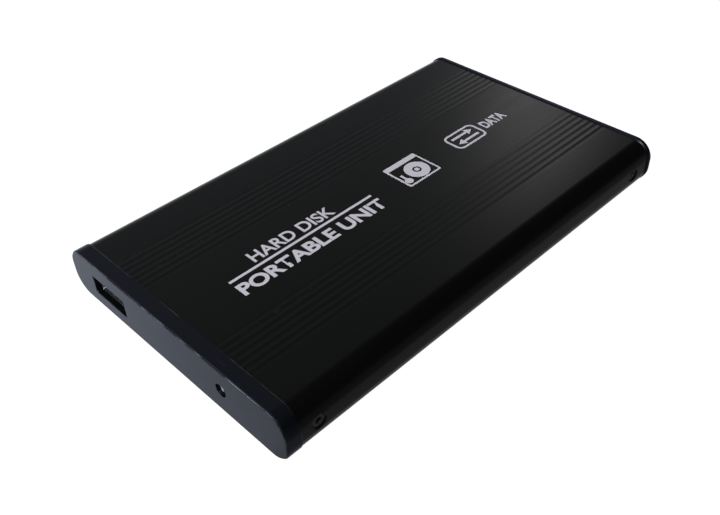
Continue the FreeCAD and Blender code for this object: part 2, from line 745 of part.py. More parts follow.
def suspensions():
    """Four thin blades that carry the heads and end in lift tabs."""
    blades = []
    for level in BLADE_LEVELS:
        points = [from_pivot(BLADE_START, PARK_ANGLE, -1.7), from_pivot(31.5, PARK_ANGLE, -0.9),
                  from_pivot(TAB_END, PARK_ANGLE, -0.35), from_pivot(TAB_END, PARK_ANGLE, 0.35),
                  from_pivot(31.5, PARK_ANGLE, 0.9), from_pivot(BLADE_START, PARK_ANGLE, 1.7)]
        blades.append(prism(points, (level, level + BLADE_THICK)))
    return Part.makeCompound(blades)


def head_sliders():
    """Four read and write heads, one for each platter face."""
    half_length = 0.6
    half_width = 0.5
    sliders = []
    for level in SLIDER_LEVELS:
        points = [from_pivot(HEAD_RADIUS - half_length, PARK_ANGLE, -half_width),
                  from_pivot(HEAD_RADIUS + half_length, PARK_ANGLE, -half_width),
                  from_pivot(HEAD_RADIUS + half_length, PARK_ANGLE, half_width),
                  from_pivot(HEAD_RADIUS - half_length, PARK_ANGLE, half_width)]
        sliders.append(prism(points, (level, level + SLIDER_THICK)))
    return Part.makeCompound(sliders)


COIL_INNER = 8.5
COIL_OUTER = 19.0
COIL_HALF_ANGLE = 15.0


def coil_outline(z):
    angles = (COIL_ANGLE - COIL_HALF_ANGLE, COIL_ANGLE + COIL_HALF_ANGLE)
    return sector(PIVOT, COIL_INNER, COIL_OUTER, angles, z)


def voice_coil():
    """Flat winding between the magnets."""
    window = sector(PIVOT, 11.2, 16.4, (COIL_ANGLE - 8.0, COIL_ANGLE + 8.0),
                    (COIL_LEVEL[0] - PAST, COIL_LEVEL[1] + PAST))
    return coil_outline(COIL_LEVEL).cut(window)


def coil_frame():
    """Moulded fork that joins the coil to the arm block."""
    half_angle = 18.5
    fork = sector(PIVOT, HUB_RADIUS, 20.0, (COIL_ANGLE - half_angle, COIL_ANGLE + half_angle), COIL_LEVEL)
    return fork.cut(coil_outline((COIL_LEVEL[0] - PAST, COIL_LEVEL[1] + PAST)))


def magnet(level):
    return sector(PIVOT, 8.0, 19.8, (-69.5, 6.5), level)


YOKE_ANGLES = (-77.0, 14.0)
YOKE_POSTS = (-73.6, 10.8)


def yoke_plate(level):
    return sector(PIVOT, 7.0, 20.5, YOKE_ANGLES, level)


def upper_yoke():
    """Steel plate against the casting's floor that backs the upper magnet."""
    return yoke_plate(YOKE_LEVELS[0])


def lower_yoke():
    """Steel plate that backs the lower magnet, with two posts up to the other yoke."""
    plate = yoke_plate(YOKE_LEVELS[1])
    posts = [drum(from_pivot(16.0, angle), 1.0, (YOKE_LEVELS[1][0], YOKE_LEVELS[0][0])) for angle in YOKE_POSTS]
    return fused([plate] + posts)


def head_ramp():
    """Ramp beside the platters where the lift tabs rest when parked."""
    fins = [sector(PIVOT, 34.0, 37.0, (162.6, 171.5), level) for level in ((6.0, 7.3), (3.5, 4.8))]
    block = sector(PIVOT, 36.5, 39.5, (162.0, 172.5), (3.0, FLOOR_LOW))
    keep_out = drum(SPINDLE, PLATTER_RADIUS + 0.4, (0, DRIVE_TOP))
    return fused(fins + [block]).cut(keep_out)


FLEX_CENTRE = (1.5, -24.0)
FLEX_LEVEL = (4.6, 6.6)
BRACKET_X = (-9.0, -1.1)


def flex_bracket():
    """Bracket where the ribbon passes through the casting's floor."""
    return box(BRACKET_X, (-33.0, -27.5), (4.0, FLOOR_LOW))


def flex_cable():
    """Curved ribbon from the bracket to just short of the arm block."""
    ribbon = sector(FLEX_CENTRE, 6.6, 6.75, (-125.0, 5.0), FLEX_LEVEL)
    return ribbon.cut(flex_bracket())


def air_filter():
    """Filter pad in the corner of the chamber."""
    return rounded(box((-29.5, -24.5), (-29.0, -20.0), (2.6, FLOOR_LOW)), 1.0, Z_AXIS)


def inertia_latch():
    """Small lever that swings against the coil fork when the drive is knocked."""
    level = (4.9, 6.3)
    tip = (31.0, -13.6)
    weight = (29.6, -6.0)
    half = 0.7
    length = math.hypot(tip[0] - LATCH_PIVOT[0], tip[1] - LATCH_PIVOT[1])
    side = (half * (tip[1] - LATCH_PIVOT[1]) / length, -half * (tip[0] - LATCH_PIVOT[0]) / length)
    lever = prism([(LATCH_PIVOT[0] + side[0], LATCH_PIVOT[1] + side[1]),
                   (tip[0] + side[0], tip[1] + side[1]),
                   (tip[0] - side[0], tip[1] - side[1]),
                   (LATCH_PIVOT[0] - side[0], LATCH_PIVOT[1] - side[1])], level)
    pieces = [drum(LATCH_PIVOT, 1.6, level), lever, drum(tip, 0.9, level), drum(weight, 1.5, level)]
    bridge = prism([(LATCH_PIVOT[0], LATCH_PIVOT[1] - 0.8), (weight[0], weight[1] - 0.8),
                    (weight[0], weight[1] + 0.8), (LATCH_PIVOT[0], LATCH_PIVOT[1] + 0.8)], level)
    pivot_hole = drum(LATCH_PIVOT, LATCH_PIN_RADIUS + SHAFT_CLEARANCE, (level[0] - PAST, level[1] + PAST))
    return fused(pieces + [bridge]).cut(pivot_hole)


# --- write every sub-part -----------------------------------------------------------------
SUB_PARTS = (sleeve, rear_cap, side_screws, rear_foam_block,
             front_cap, bridge_board, board_screws, port_shell, port_tongue, port_contacts,
             drive_socket, socket_contacts, bridge_chip, bridge_crystal, bridge_small_parts,
             activity_led, led_legs,
             drive_base, drive_cover, cover_gasket, cover_screws, drive_label, drive_board,
             drive_board_screws, controller_chip, memory_chip, motor_driver_chip, drive_board_parts,
             drive_plug, plug_contacts, jumper_block, jumper_pins,
             bearing_sleeve, stator_core, stator_coils, spindle_hub, spindle_shaft, rotor_magnet,
             platter_spacer, disk_clamp, clamp_screw,
             head_arms, pivot_cartridge, pivot_shaft, suspensions, head_sliders,
             voice_coil, coil_frame, upper_yoke, lower_yoke, head_ramp,
             flex_bracket, flex_cable, air_filter, inertia_latch)

os.makedirs("parts", exist_ok=True)
for build in SUB_PARTS:
    save(build(), build.__name__)
save(platter(UPPER_PLATTER), "upper_platter")
save(platter(LOWER_PLATTER), "lower_platter")
save(magnet(MAGNET_LEVELS[0]), "upper_magnet")
save(magnet(MAGNET_LEVELS[1]), "lower_magnet")
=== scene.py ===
"""Looks of an external 2.5-inch hard disk drive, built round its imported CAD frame."""

import json
import math

import bpy
from bpy.props import FloatProperty, FloatVectorProperty, PointerProperty, StringProperty
from mathutils import Matrix, Vector


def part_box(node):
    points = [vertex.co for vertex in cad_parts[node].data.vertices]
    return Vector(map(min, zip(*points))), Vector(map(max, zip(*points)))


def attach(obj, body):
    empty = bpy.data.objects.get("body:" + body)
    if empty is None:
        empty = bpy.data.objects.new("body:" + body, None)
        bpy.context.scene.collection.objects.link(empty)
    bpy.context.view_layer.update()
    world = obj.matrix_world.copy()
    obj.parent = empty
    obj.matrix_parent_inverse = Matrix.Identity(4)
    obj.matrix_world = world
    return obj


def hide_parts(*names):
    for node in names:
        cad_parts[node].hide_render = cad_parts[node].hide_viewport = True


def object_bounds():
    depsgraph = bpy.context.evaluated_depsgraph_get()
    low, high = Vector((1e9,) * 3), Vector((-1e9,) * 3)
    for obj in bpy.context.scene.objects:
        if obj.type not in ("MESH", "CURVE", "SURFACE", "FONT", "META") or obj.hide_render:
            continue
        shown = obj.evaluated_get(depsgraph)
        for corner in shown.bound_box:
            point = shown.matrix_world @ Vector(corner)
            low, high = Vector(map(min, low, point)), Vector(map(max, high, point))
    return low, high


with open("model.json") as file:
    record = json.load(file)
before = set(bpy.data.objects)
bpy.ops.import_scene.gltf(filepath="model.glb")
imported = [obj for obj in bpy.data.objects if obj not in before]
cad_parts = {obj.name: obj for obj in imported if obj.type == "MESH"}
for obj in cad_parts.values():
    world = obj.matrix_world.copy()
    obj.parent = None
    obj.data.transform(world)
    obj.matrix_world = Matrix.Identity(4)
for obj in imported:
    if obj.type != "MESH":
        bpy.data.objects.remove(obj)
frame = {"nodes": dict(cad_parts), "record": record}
cad_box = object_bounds()

bl_info = {
    "name": "External hard disk drive",
    "version": (1, 0, 0),
    "blender": (4, 5, 0),
    "location": "3D Viewport > Sidebar > Drive",
    "description": "Builds the case, its print, the port, the light and the drive that slides out of it",
    "category": "Object",
}

MM = 0.001
SLEEVE_LOW, SLEEVE_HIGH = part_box("sleeve")
CAP_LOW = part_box("front_cap")[0]
CAP_BACK = SLEEVE_LOW.y
THIN_LETTERS = 0.020
BOLD_LETTERS = 0.034
KEY_PLACE = (0.24, -0.44, 0.74)
EDGE_PLACE = (-0.45, -0.78, 0.30)
SHEEN_PLACE = (-0.905, 1.477, 1.0)


# --- settings that a user would change ------------------------------------------------
def length(name, description, default):
    return FloatProperty(name=name, description=description, default=default, unit="LENGTH", precision=5)


def colour(name, description, default):
    return FloatVectorProperty(name=name, description=description, default=default, size=3,
                               subtype="COLOR", min=0.0, max=1.0)


class DriveFinishes(bpy.types.PropertyGroup):
    """Colours and edges of the case and the drive."""
    sleeve_colour: colour("Sleeve", "Black anodised aluminium", (0.0022, 0.0022, 0.0020))
    cap_colour: colour("Caps", "Blue-black anodised aluminium", (0.0140, 0.0152, 0.0215))
    print_colour: colour("Print", "White ink", (0.64, 0.61, 0.67))
    board_colour: colour("Circuit boards", "Solder mask", (0.006, 0.085, 0.032))
    casting_colour: colour("Casting", "Bare die-cast aluminium", (0.42, 0.43, 0.45))
    case_edge: length("Case edge", "Width of the broken edges on the case", 0.09 * MM)
    fine_edge: length("Fine edge", "Width of the broken edges on small parts", 0.04 * MM)


class DrivePrint(bpy.types.PropertyGroup):
    """Words and marks on the top of the case."""
    upper_words: StringProperty(name="Upper line", description="Generic words above the rule",
                                default="HARD DISK")
    lower_words: StringProperty(name="Lower line", description="Generic words below the rule",
                                default="PORTABLE UNIT")
    mark_words: StringProperty(name="Mark", description="Generic word beside the arrows", default="DATA")
    ink: length("Ink", "Thickness of the ink", 0.02 * MM)
    upper_start: length("Upper line start", "Where the upper line begins, along the case", -37.1 * MM)
    upper_run: length("Upper line length", "Length of the upper line", 24.4 * MM)
    upper_height: length("Upper line height", "Height of the upper letters", 3.7 * MM)
    upper_base: length("Upper base line", "Base line of the upper letters, across the case", -1.45 * MM)
    lower_start: length("Lower line start", "Where the lower line begins, along the case", -45.3 * MM)
    lower_run: length("Lower line length", "Length of the lower line", 43.2 * MM)
    lower_height: length("Lower line height", "Height of the lower letters", 4.05 * MM)
    lower_base: length("Lower base line", "Base line of the lower letters, across the case", 5.45 * MM)
    rule_middle: length("Rule", "Middle of the rule, across the case", -0.27 * MM)
    rule_width: length("Rule width", "Width of the rule", 0.72 * MM)
    rule_run: length("Rule length", "Length of the rule", 42.9 * MM)
    disc_mark: length("Disc mark", "Middle of the disc mark, along the case", 12.3 * MM)
    disc_mark_size: length("Disc mark size", "Side of the disc mark's square", 9.8 * MM)
    arrow_mark: length("Arrow mark", "Middle of the arrow mark, along the case", 32.9 * MM)


class DriveStage(bpy.types.PropertyGroup):
    """Floor, lights and camera."""
    azimuth: FloatProperty(name="Azimuth", description="Camera direction round the case",
                           default=0.81196, subtype="ANGLE")
    elevation: FloatProperty(name="Elevation", description="Camera direction above the floor",
                             default=0.70396, subtype="ANGLE")
    roll: FloatProperty(name="Roll", description="Camera turned about its own axis",
                        default=-0.03934, subtype="ANGLE")
    place: FloatVectorProperty(name="Camera place", description="Where the camera stands", size=3,
                               default=(0.116074, -0.117079, 0.131509), subtype="TRANSLATION", precision=5)
    lens: FloatProperty(name="Lens", description="Focal length in millimetres", default=42.21)
    floor_glow: FloatProperty(name="Floor glow", description="Light given off by the lit floor", default=1.0)
    key_power: FloatProperty(name="Key light", description="Power of the high light beside the camera",
                             default=5.9, unit="POWER")
    edge_power: FloatProperty(name="Edge light", description="Power of the low light in front",
                              default=0.8, unit="POWER")
    sheen_power: FloatProperty(name="Sheen light", description="Power of the light behind the case",
                               default=0.8, unit="POWER")


# --- working on one object at a time ----------------------------------------------------
def take_up(piece):
    """Leaves one object selected and active."""
    if bpy.context.object and bpy.context.object.mode != "OBJECT":
        bpy.ops.object.mode_set(mode="OBJECT")
    bpy.ops.object.select_all(action="DESELECT")
    piece.select_set(True)
    bpy.context.view_layer.objects.active = piece


def start_piece():
    """Deselects everything, so that the next primitive stands alone."""
    if bpy.context.object and bpy.context.object.mode != "OBJECT":
        bpy.ops.object.mode_set(mode="OBJECT")
    bpy.ops.object.select_all(action="DESELECT")


def pick_faces(piece, test):
    """Enters edit mode with only the faces selected that pass a test."""
    take_up(piece)
    bpy.ops.object.mode_set(mode="EDIT")
    bpy.ops.mesh.select_mode(type="FACE")
    bpy.ops.mesh.select_all(action="DESELECT")
    bpy.ops.object.mode_set(mode="OBJECT")
    for face in piece.data.polygons:
        face.select = test(face)
    bpy.ops.object.mode_set(mode="EDIT")


def leave_edit():
    bpy.ops.object.mode_set(mode="OBJECT")


def apply_modifiers(piece):
    take_up(piece)
    for modifier in list(piece.modifiers):
        bpy.ops.object.modifier_apply(modifier=modifier.name)


def break_edges(piece, width, segments=2, sharp=40):
    """Bevels every edge sharper than an angle, in degrees, and smooths the rest."""
    bevel = piece.modifiers.new("broken edges", "BEVEL")
    bevel.width = width
    bevel.segments = segments
    bevel.limit_method = "ANGLE"
    bevel.angle_limit = math.radians(sharp)
    apply_modifiers(piece)
    bpy.ops.object.shade_smooth_by_angle(angle=math.radians(sharp - 5))
    level = piece.modifiers.new("flat faces stay flat", "WEIGHTED_NORMAL")
    level.keep_sharp = True
    apply_modifiers(piece)


def settle(piece):
    """Puts a piece's place, turn and size into its mesh."""
    take_up(piece)
    bpy.ops.object.transform_apply(location=True, rotation=True, scale=True)


def place_piece(piece, name, body, material, replaced=()):
    """Names a finished piece, gives it its finish and sets it on its body."""
    settle(piece)
    piece.name = name
    piece.data.name = name
    piece.data.materials.clear()
    piece.data.materials.append(material)
    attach(piece, body)
    if replaced:
        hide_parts(*replaced)
    return piece


def join(pieces):
    """Joins pieces into the first one."""
    take_up(pieces[0])
    for piece in pieces[1:]:
        piece.select_set(True)
    bpy.ops.object.join()
    return pieces[0]


def block(low, high):
    """A box between two corners."""
    start_piece()
    middle = (Vector(low) + Vector(high)) / 2
    bpy.ops.mesh.primitive_cube_add(size=1, location=middle)
    piece = bpy.context.object
    piece.scale = Vector(high) - Vector(low)
    settle(piece)
    return piece


def drum(middle, radius, depth, vertices=48, turn=(0, 0, 0)):
    """A closed cylinder about a middle point."""
    start_piece()
    bpy.ops.mesh.primitive_cylinder_add(vertices=vertices, radius=radius, depth=depth,
                                        location=middle, rotation=turn)
    piece = bpy.context.object
    settle(piece)
    return piece


def repeat(piece, count, step):
    """A row of copies a fixed step apart, in one mesh."""
    row = piece.modifiers.new("row", "ARRAY")
    row.count = count
    row.use_relative_offset = False
    row.use_constant_offset = True
    row.constant_offset_displace = step
    apply_modifiers(piece)
    return piece


def node_copy(node):
    """A merged copy of a CAD node's mesh, free of its imported normals."""
    source = frame["nodes"][node]
    piece = source.copy()
    piece.data = source.data.copy()
    piece.parent = None
    piece.matrix_world = Matrix.Identity(4)
    bpy.context.collection.objects.link(piece)
    piece.hide_render = False
    take_up(piece)
    bpy.ops.mesh.customdata_custom_splitnormals_clear()
    bpy.ops.object.mode_set(mode="EDIT")
    bpy.ops.mesh.select_all(action="SELECT")
    bpy.ops.mesh.remove_doubles(threshold=0.0005 * MM)
    bpy.ops.mesh.dissolve_limited(angle_limit=math.radians(0.5))
    leave_edit()
    return piece


def body_of(node):
    """The body that a CAD node belongs to."""
    for body, nodes in frame["record"]["behaviour"]["bodies"].items():
        if node in nodes:
            return body
    raise KeyError(node)


def slot_of(node):
    """The material slot of a CAD node."""
    for entry in frame["record"]["subparts"]:
        if entry["node"] == node:
            return entry["material_slot"]
    raise KeyError(node)


def machined(node, edge, sharp=40):
    """A copy of a CAD node with its edges broken, which stands for the node."""
    piece = node_copy(node)
    break_edges(piece, edge, sharp=sharp)
    return place_piece(piece, node + "_finished", body_of(node),
                       finish(slot_of(node)), [node])


# --- shader node groups -------------------------------------------------------------------
def new_group(name, inputs, outputs):
    """An empty shader node group with named sockets, and its two end nodes."""
    group = bpy.data.node_groups.new(name, "ShaderNodeTree")
    for label, kind in inputs:
        group.interface.new_socket(name=label, in_out="INPUT", socket_type=kind)
    for label, kind in outputs:
        group.interface.new_socket(name=label, in_out="OUTPUT", socket_type=kind)
    return group, group.nodes.new("NodeGroupInput"), group.nodes.new("NodeGroupOutput")


def add(tree, kind, values=None, **settings):
    """A node with its settings and the values of its unlinked sockets."""
    node = tree.nodes.new(kind)
    for key, value in settings.items():
        setattr(node, key, value)
    for key, value in (values or {}).items():
        node.inputs[key].default_value = value
    return node


def stretched_place(tree, source):
    """Object coordinates multiplied by the group's Stretch."""
    place = add(tree, "ShaderNodeTexCoord")
    stretch = add(tree, "ShaderNodeVectorMath", operation="MULTIPLY")
    tree.links.new(place.outputs["Object"], stretch.inputs[0])
    tree.links.new(source.outputs["Stretch"], stretch.inputs[1])
    return stretch.outputs[0]


def make_grain():
    """Colour, roughness and relief that vary over the surface, fine and coarse together."""
    tree, source, result = new_group("surface_grain", (
        ("Color", "NodeSocketColor"), ("Color Spread", "NodeSocketFloat"),
        ("Roughness", "NodeSocketFloat"), ("Roughness Spread", "NodeSocketFloat"),
        ("Scale", "NodeSocketFloat"), ("Stretch", "NodeSocketVector"), ("Relief", "NodeSocketFloat")), (
        ("Color", "NodeSocketColor"), ("Roughness", "NodeSocketFloat"), ("Normal", "NodeSocketVector")))
    link = tree.links.new
    place = stretched_place(tree, source)
    fine = add(tree, "ShaderNodeTexNoise", {"Detail": 3.0, "Roughness": 0.6})
    coarse_scale = add(tree, "ShaderNodeMath", {1: 0.04}, operation="MULTIPLY")
    coarse = add(tree, "ShaderNodeTexNoise", {"Detail": 2.0})
    spread = add(tree, "ShaderNodeMix", {"Factor": 0.35}, data_type="FLOAT")
    centred = add(tree, "ShaderNodeMath", {1: 0.5}, operation="SUBTRACT")
    tint = add(tree, "ShaderNodeMath", {2: 1.0}, operation="MULTIPLY_ADD")
    shade = add(tree, "ShaderNodeVectorMath", operation="SCALE")
    rough = add(tree, "ShaderNodeMath", operation="MULTIPLY_ADD", use_clamp=True)
    bump = add(tree, "ShaderNodeBump", {"Distance": 0.02 * MM})
    link(source.outputs["Scale"], fine.inputs["Scale"])
    link(source.outputs["Scale"], coarse_scale.inputs[0])
    link(coarse_scale.outputs[0], coarse.inputs["Scale"])
    link(place, fine.inputs["Vector"])
    link(place, coarse.inputs["Vector"])
    link(fine.outputs["Fac"], spread.inputs["A"])
    link(coarse.outputs["Fac"], spread.inputs["B"])
    link(spread.outputs["Result"], centred.inputs[0])
    link(centred.outputs[0], tint.inputs[0])
    link(source.outputs["Color Spread"], tint.inputs[1])
    link(source.outputs["Color"], shade.inputs[0])
    link(tint.outputs[0], shade.inputs["Scale"])
    link(shade.outputs[0], result.inputs["Color"])
    link(centred.outputs[0], rough.inputs[0])
    link(source.outputs["Roughness Spread"], rough.inputs[1])
    link(source.outputs["Roughness"], rough.inputs[2])
    link(rough.outputs[0], result.inputs["Roughness"])
    link(fine.outputs["Fac"], bump.inputs["Height"])
    link(source.outputs["Relief"], bump.inputs["Strength"])
    link(bump.outputs["Normal"], result.inputs["Normal"])
    return tree


def make_marks():
    """Sparse fine scratches and specks laid over a colour."""
    tree, source, result = new_group("fine_marks", (
        ("Color", "NodeSocketColor"), ("Mark Color", "NodeSocketColor"), ("Scale", "NodeSocketFloat"),
        ("Stretch", "NodeSocketVector"), ("Amount", "NodeSocketFloat")), (
        ("Color", "NodeSocketColor"), ("Mask", "NodeSocketFloat")))
    link = tree.links.new
    place = stretched_place(tree, source)
    lines = add(tree, "ShaderNodeTexNoise", {"Detail": 1.0})
    thin = add(tree, "ShaderNodeMapRange", {"From Min": 0.715, "From Max": 0.75})
    where = add(tree, "ShaderNodeTexNoise", {"Scale": 90.0, "Detail": 1.0})
    patch = add(tree, "ShaderNodeMapRange", {"From Min": 0.56, "From Max": 0.66})
    specks = add(tree, "ShaderNodeTexVoronoi", {"Scale": 700.0})
    dots = add(tree, "ShaderNodeMapRange", {"From Min": 0.07, "From Max": 0.05})
    seen = add(tree, "ShaderNodeMath", operation="MULTIPLY")
    both = add(tree, "ShaderNodeMath", operation="MAXIMUM")
    dotted = add(tree, "ShaderNodeMath", operation="MULTIPLY")
    mask = add(tree, "ShaderNodeMath", operation="MULTIPLY", use_clamp=True)
    mix = add(tree, "ShaderNodeMix", data_type="RGBA")
    link(place, lines.inputs["Vector"])
    link(source.outputs["Scale"], lines.inputs["Scale"])
    link(lines.outputs["Fac"], thin.inputs["Value"])
    link(where.outputs["Fac"], patch.inputs["Value"])
    link(thin.outputs["Result"], seen.inputs[0])
    link(patch.outputs["Result"], seen.inputs[1])
    link(specks.outputs["Distance"], dots.inputs["Value"])
    link(dots.outputs["Result"], dotted.inputs[0])
    link(patch.outputs["Result"], dotted.inputs[1])
    link(seen.outputs[0], both.inputs[0])
    link(dotted.outputs[0], both.inputs[1])
    link(both.outputs[0], mask.inputs[0])
    link(source.outputs["Amount"], mask.inputs[1])
    link(mask.outputs[0], mix.inputs["Factor"])
    link(source.outputs["Color"], mix.inputs["A"])
    link(source.outputs["Mark Color"], mix.inputs["B"])
    link(mix.outputs["Result"], result.inputs["Color"])
    link(mask.outputs[0], result.inputs["Mask"])
    return tree


def make_wear_and_highlight():
    """Lighter colour in patches, in a band across the case at one place along it: worn-off colour, and on the
    caps' front edge partly a painted highlight.
    """
    tree, source, result = new_group("wear_and_highlight_band", (
        ("Color", "NodeSocketColor"), ("Bare And Highlight Color", "NodeSocketColor"), ("Place", "NodeSocketFloat"),
        ("Width", "NodeSocketFloat"), ("Amount", "NodeSocketFloat")), (("Color", "NodeSocketColor"),))
    link = tree.links.new
    place = add(tree, "ShaderNodeTexCoord")
    axes = add(tree, "ShaderNodeSeparateXYZ")
    away = add(tree, "ShaderNodeMath", operation="SUBTRACT")
    distance = add(tree, "ShaderNodeMath", operation="ABSOLUTE")
    share = add(tree, "ShaderNodeMath", operation="DIVIDE")
    band = add(tree, "ShaderNodeMapRange", {"From Min": 1.0, "From Max": 0.6})
    noise = add(tree, "ShaderNodeTexNoise", {"Scale": 120.0, "Detail": 5.0, "Roughness": 0.65})
    patch = add(tree, "ShaderNodeMapRange", {"From Min": 0.46, "From Max": 0.60})
    both = add(tree, "ShaderNodeMath", operation="MULTIPLY")
    mask = add(tree, "ShaderNodeMath", operation="MULTIPLY", use_clamp=True)
    mix = add(tree, "ShaderNodeMix", data_type="RGBA")
    link(place.outputs["Object"], axes.inputs[0])
    link(axes.outputs["Y"], away.inputs[0])
    link(source.outputs["Place"], away.inputs[1])
    link(away.outputs[0], distance.inputs[0])
    link(distance.outputs[0], share.inputs[0])
    link(source.outputs["Width"], share.inputs[1])
    link(share.outputs[0], band.inputs["Value"])
    link(place.outputs["Object"], noise.inputs["Vector"])
    link(noise.outputs["Fac"], patch.inputs["Value"])
    link(band.outputs["Result"], both.inputs[0])
    link(patch.outputs["Result"], both.inputs[1])
    link(both.outputs[0], mask.inputs[0])
    link(source.outputs["Amount"], mask.inputs[1])
    link(mask.outputs[0], mix.inputs["Factor"])
    link(source.outputs["Color"], mix.inputs["A"])
    link(source.outputs["Bare And Highlight Color"], mix.inputs["B"])
    link(mix.outputs["Result"], result.inputs["Color"])
    return tree


GROUP_MAKERS = {"surface_grain": make_grain, "fine_marks": make_marks, "wear_and_highlight_band": make_wear_and_highlight}


def group_node(tree, name, values):
    """One of the shared groups, built the first time it is asked for."""
    node = tree.nodes.new("ShaderNodeGroup")
    node.node_tree = bpy.data.node_groups.get(name) or GROUP_MAKERS[name]()
    for key, value in values.items():
        node.inputs[key].default_value = value
    return node


# --- finishes --------------------------------------------------------------------------------
def rgba(colour):
    return (colour[0], colour[1], colour[2], 1.0)


def surface(name, colour, roughness, scale, metallic=0.0, spread=0.25, rough_spread=0.15, stretch=(1, 1, 1),
            relief=0.2, marks=0.0, mark_colour=(0.3, 0.3, 0.3), mark_scale=400.0,
            mark_stretch=(1, 0.04, 1), sockets=None):
    """A material of one shader fed by the grain group and, where it has marks, the marks group."""
    material = bpy.data.materials.new(name)
    material.use_nodes = True
    tree = material.node_tree
    shader = tree.nodes["Principled BSDF"]
    shader.inputs["Metallic"].default_value = metallic
    for key, value in (sockets or {}).items():
        shader.inputs[key].default_value = value
    grain = group_node(tree, "surface_grain", {
        "Color": rgba(colour), "Color Spread": spread, "Roughness": roughness,
        "Roughness Spread": rough_spread, "Scale": scale, "Stretch": stretch, "Relief": relief})
    painted = grain.outputs["Color"]
    if marks > 0.0:
        worn = group_node(tree, "fine_marks", {"Mark Color": rgba(mark_colour), "Scale": mark_scale,
                                               "Stretch": mark_stretch, "Amount": marks})
        tree.links.new(painted, worn.inputs["Color"])
        painted = worn.outputs["Color"]
    tree.links.new(painted, shader.inputs["Base Color"])
    tree.links.new(grain.outputs["Roughness"], shader.inputs["Roughness"])
    tree.links.new(grain.outputs["Normal"], shader.inputs["Normal"])
    return material


def lay_wear_and_highlight(material, place, width, amount, bare_and_highlight):
    """Lays a band of worn-off colour over a material's colour, at a place along the case; on the caps' front
    edge it is partly a painted highlight.
    """
    tree = material.node_tree
    base = tree.nodes["Principled BSDF"].inputs["Base Color"]
    under = base.links[0].from_socket
    worn_and_lit = group_node(tree, "wear_and_highlight_band", {"Bare And Highlight Color": rgba(bare_and_highlight), "Place": place, "Width": width,
                                              "Amount": amount})
    tree.links.new(under, worn_and_lit.inputs["Color"])
    tree.links.new(worn_and_lit.outputs["Color"], base)


def settings():
    return bpy.context.scene.drive_finishes


def black_anodised():
    """Satin black sleeve, brushed along its length."""
    return surface("black_anodised", settings().sleeve_colour, 0.285, 5200.0, spread=0.5, rough_spread=0.12,
                   stretch=(1, 0.012, 1), relief=0.22, marks=0.06, mark_colour=(0.10, 0.10, 0.10),
                   sockets={"Specular IOR Level": 0.16})


def cap_anodised():
    """Blue-black blasted caps with the colour worn off their edges in places; the bright band along the front
    edge is partly a painted highlight on the chamfer.
    """
    material = surface("cap_anodised", settings().cap_colour, 0.38, 6500.0, metallic=0.85, spread=0.35,
                       rough_spread=0.12, relief=0.30, marks=0.30, mark_colour=(0.14, 0.15, 0.19),
                       mark_scale=900.0, mark_stretch=(0.15, 1, 1),
                       sockets={"Specular Tint": (0.84, 0.89, 1.0, 1.0)})
    # Painted highlight: this light bluish band on the front edge's chamfer stands partly for the highlight
    # there and partly for worn-off colour.
    lay_wear_and_highlight(material, CAP_LOW.y + 0.10 * MM, 0.08 * MM, 0.75, (0.20, 0.22, 0.28))
    lay_wear_and_highlight(material, CAP_BACK - 0.10 * MM, 0.14 * MM, 0.60, (0.15, 0.15, 0.16))
    return material


def white_print():
    return surface("white_print", settings().print_colour, 0.55, 4000.0, spread=0.08, relief=0.0)


def black_screw():
    return surface("black_screw", (0.012, 0.012, 0.013), 0.42, 4000.0, metallic=0.0, relief=0.2,
                   marks=0.5, mark_colour=(0.12, 0.12, 0.12))


def bright_screw():
    return surface("bright_screw", (0.55, 0.55, 0.56), 0.28, 3000.0, metallic=1.0, relief=0.15)


def foam():
    return surface("foam", (0.012, 0.012, 0.013), 0.9, 2500.0, spread=0.8, relief=0.9)


def green_board():
    return surface("green_board", settings().board_colour, 0.32, 1500.0, spread=0.3, relief=0.15,
                   sockets={"Coat Weight": 0.3})


def masked_copper():
    """Tracks under the solder mask, a little lighter than the board."""
    return surface("masked_copper", (0.030, 0.180, 0.065), 0.30, 1500.0, spread=0.3, relief=0.1,
                   sockets={"Coat Weight": 0.3})


def chip_black():
    return surface("chip_black", (0.010, 0.010, 0.011), 0.55, 6000.0, spread=0.3, relief=0.4)


def tinned_metal():
    return surface("tinned_metal", (0.50, 0.50, 0.50), 0.34, 2600.0, metallic=1.0, spread=0.2,
                   stretch=(1, 0.05, 1), relief=0.15)


def gold_contact():
    return surface("gold_contact", (0.83, 0.56, 0.16), 0.22, 3000.0, metallic=1.0, relief=0.1)


def socket_plastic():
    return surface("socket_plastic", (0.012, 0.012, 0.013), 0.48, 5000.0, spread=0.4, relief=0.35)


def ceramic_parts():
    return surface("ceramic_parts", (0.26, 0.15, 0.07), 0.5, 1400.0, spread=0.9, relief=0.2)


def clear_lens():
    """Clear epoxy with a milky body."""
    return surface("clear_lens", (0.62, 0.66, 0.70), 0.16, 1500.0, spread=0.1, rough_spread=0.05, relief=0.05,
                   sockets={"Transmission Weight": 0.35, "IOR": 1.5})


def cast_aluminium():
    return surface("cast_aluminium", settings().casting_colour, 0.42, 3500.0, metallic=1.0, spread=0.25,
                   relief=0.4, marks=0.25, mark_colour=(0.7, 0.7, 0.7))


def cover_steel():
    return surface("cover_steel", (0.50, 0.51, 0.52), 0.30, 4200.0, metallic=1.0, spread=0.2,
                   stretch=(1, 0.02, 1), relief=0.2, marks=0.2, mark_colour=(0.75, 0.75, 0.75))


def gasket_rubber():
    return surface("gasket_rubber", (0.010, 0.010, 0.010), 0.75, 3500.0, relief=0.5)


def label_paper():
    return surface("label_paper", (0.66, 0.66, 0.63), 0.7, 4500.0, spread=0.12, relief=0.3)


def label_ink():
    return surface("label_ink", (0.045, 0.045, 0.048), 0.6, 4500.0, spread=0.2, relief=0.1)


